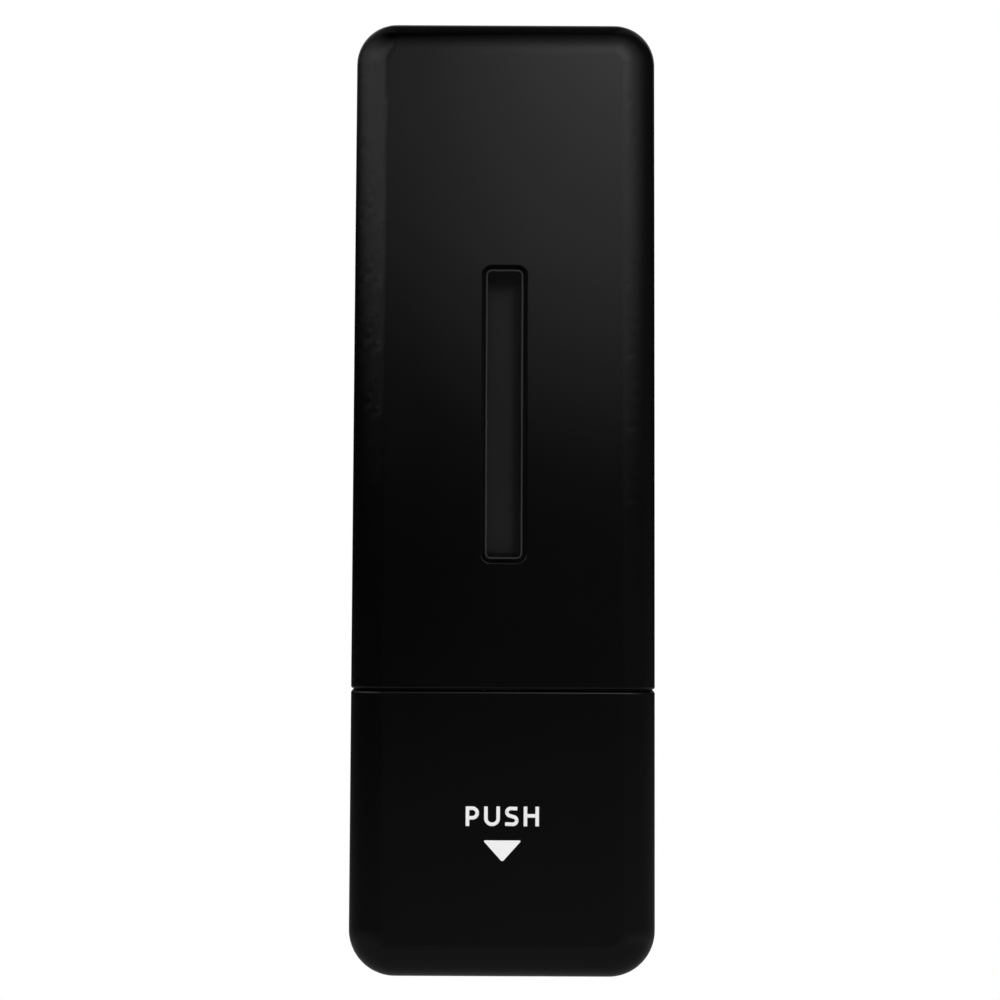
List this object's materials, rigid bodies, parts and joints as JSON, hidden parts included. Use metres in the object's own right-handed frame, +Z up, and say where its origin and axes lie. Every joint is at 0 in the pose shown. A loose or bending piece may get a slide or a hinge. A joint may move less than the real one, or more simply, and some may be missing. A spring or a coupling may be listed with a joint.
{
  "type": "wall mounted soap dispenser",
  "caption": "Tall rounded wall-mounted liquid soap dispenser with a level window, a refill lid on top and a push button below that works a piston pump.",
  "frame": {"origin": "centre of the wall plate's back face, on the wall", "axes": "+Z up, +Y into the wall, front faces -Y, +X to the right seen from the front"},
  "size_m": [0.0676, 0.072, 0.21],
  "materials": {
    "satin_black": "satin moulded black plastic",
    "chassis_black": "matt moulded black plastic",
    "nozzle_black": "fine matt black plastic",
    "smoked_lens": "smoked clear plastic with a soft gloss",
    "tank_frosted": "frosted natural plastic",
    "pump_white": "natural white moulded plastic",
    "seal_black": "matt black rubber",
    "silicone_clear": "milky silicone",
    "steel_bright": "bright stainless steel"
  },
  "bodies": {
    "wall_plate": {"wall_plate": "chassis_black"},
    "housing": {"rear_chassis": "chassis_black", "front_cover": "satin_black", "window_lens": "smoked_lens", "window_gasket": "seal_black", "reservoir": "tank_frosted", "cover_screws": "steel_bright", "pump_body": "pump_white", "pump_cap": "pump_white", "pump_screws": "steel_bright", "inlet_seat": "pump_white", "inlet_oring": "seal_black", "return_spring": "steel_bright", "duckbill_valve": "silicone_clear", "nozzle_cap": "nozzle_black", "lid_hinge_pin": "steel_bright"},
    "lid": {"refill_lid": "satin_black", "lid_gasket": "silicone_clear"},
    "button": {"push_button": "satin_black", "piston": "pump_white", "piston_seal": "seal_black", "piston_pin": "steel_bright"},
    "ball": {"inlet_ball": "steel_bright"}
  },
  "joints": [
    {"name": "lift_off", "type": "slide", "parent": "wall_plate", "child": "housing", "axis": [0, 0, 1], "range_m": [0, 0.016]},
    {"name": "lid_hinge", "type": "hinge", "parent": "housing", "child": "lid", "pos_m": [0, -0.017, 0.0708], "axis": [-1, 0, 0], "range_deg": [0, 100]},
    {"name": "button_press", "type": "slide", "parent": "housing", "child": "button", "axis": [0, 1, 0], "range_m": [0, 0.009], "stiffness_N_per_m": 500, "springref_m": -0.01, "deforming": ["return_spring"]},
    {"name": "ball_lift", "type": "slide", "parent": "housing", "child": "ball", "axis": [0, 0, 1], "range_m": [0, 0.0014]}
  ]
}
